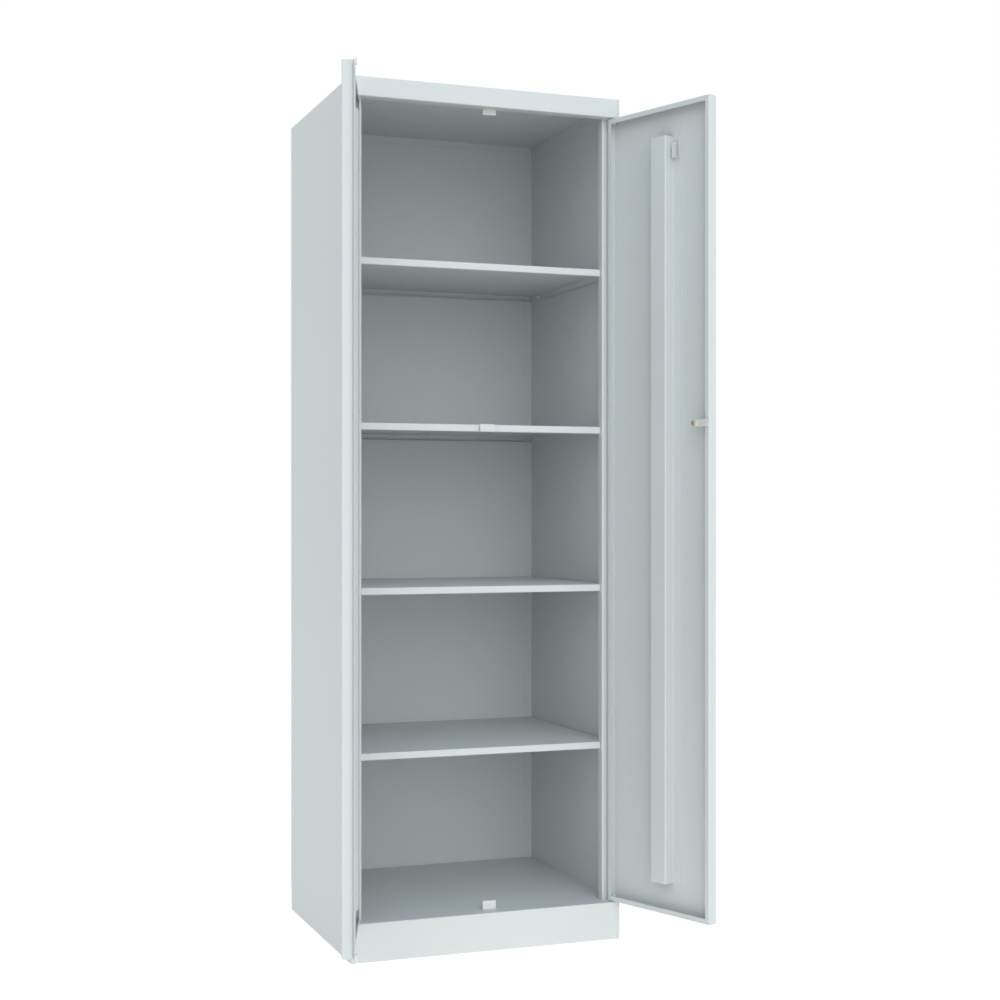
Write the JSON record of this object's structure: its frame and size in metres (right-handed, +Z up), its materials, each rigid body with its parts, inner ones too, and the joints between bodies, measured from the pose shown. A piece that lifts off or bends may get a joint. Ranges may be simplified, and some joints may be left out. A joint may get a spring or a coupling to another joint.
{
  "type": "storage cupboard",
  "caption": "Tall folded-sheet steel cupboard with pivot-hung double doors, loose shelves, a cam lock, moulded door stops, a fascia and a plinth.",
  "frame": {"origin": "on the floor under the middle of the carcass", "axes": "X right and Y back, seen facing the open front; Z up"},
  "size_m": [0.7878, 0.8034, 1.812],
  "materials": {
    "painted_sheet": "light grey powder coat, fine texture",
    "stop_plastic": "pale grey moulded",
    "zinc_steel": "zinc plated",
    "lock_chrome": "bright plated",
    "nut_brass": "yellow passivated"
  },
  "bodies": {
    "carcass": {"left_side_panel": "painted_sheet", "right_side_panel": "painted_sheet", "back_panel": "painted_sheet", "top_panel": "painted_sheet", "base_panel": "painted_sheet", "shelf_1": "painted_sheet", "shelf_2": "painted_sheet", "shelf_3": "painted_sheet", "shelf_4": "painted_sheet", "shelf_studs": "zinc_steel", "top_stop": "stop_plastic", "middle_stop": "painted_sheet", "bottom_stop": "stop_plastic", "pivot_pins": "zinc_steel", "back_rivets": "painted_sheet", "tray_rivets": "painted_sheet"},
    "left_door": {"left_door_pan": "painted_sheet", "left_door_stiffener": "painted_sheet", "left_door_bushes": "stop_plastic", "lap_strip": "painted_sheet", "lap_buffers": "stop_plastic"},
    "right_door": {"right_door_pan": "painted_sheet", "right_door_stiffener": "painted_sheet", "right_door_bushes": "stop_plastic", "door_hook": "painted_sheet", "hook_rivets": "painted_sheet", "lock_body": "lock_chrome", "lock_nut": "zinc_steel"},
    "lock": {"lock_plug": "lock_chrome", "lock_cam": "zinc_steel", "cam_nut": "nut_brass"}
  },
  "joints": [
    {"name": "right_door_hinge", "type": "hinge", "parent": "carcass", "child": "right_door", "pos_m": [0.2909, -0.2484, 0], "axis": [0, 0, 1], "range_deg": [-109.6, 10.4]},
    {"name": "left_door_hinge", "type": "hinge", "parent": "carcass", "child": "left_door", "pos_m": [-0.2909, -0.2484, 0], "axis": [0, 0, -1], "range_deg": [-108.1, 11.9]},
    {"name": "lock_turn", "type": "hinge", "parent": "right_door", "child": "lock", "pos_m": [0.36112, -0.4945, 1.1028], "axis": [-0.9421, -0.3355, 0], "range_deg": [0, 90]}
  ]
}
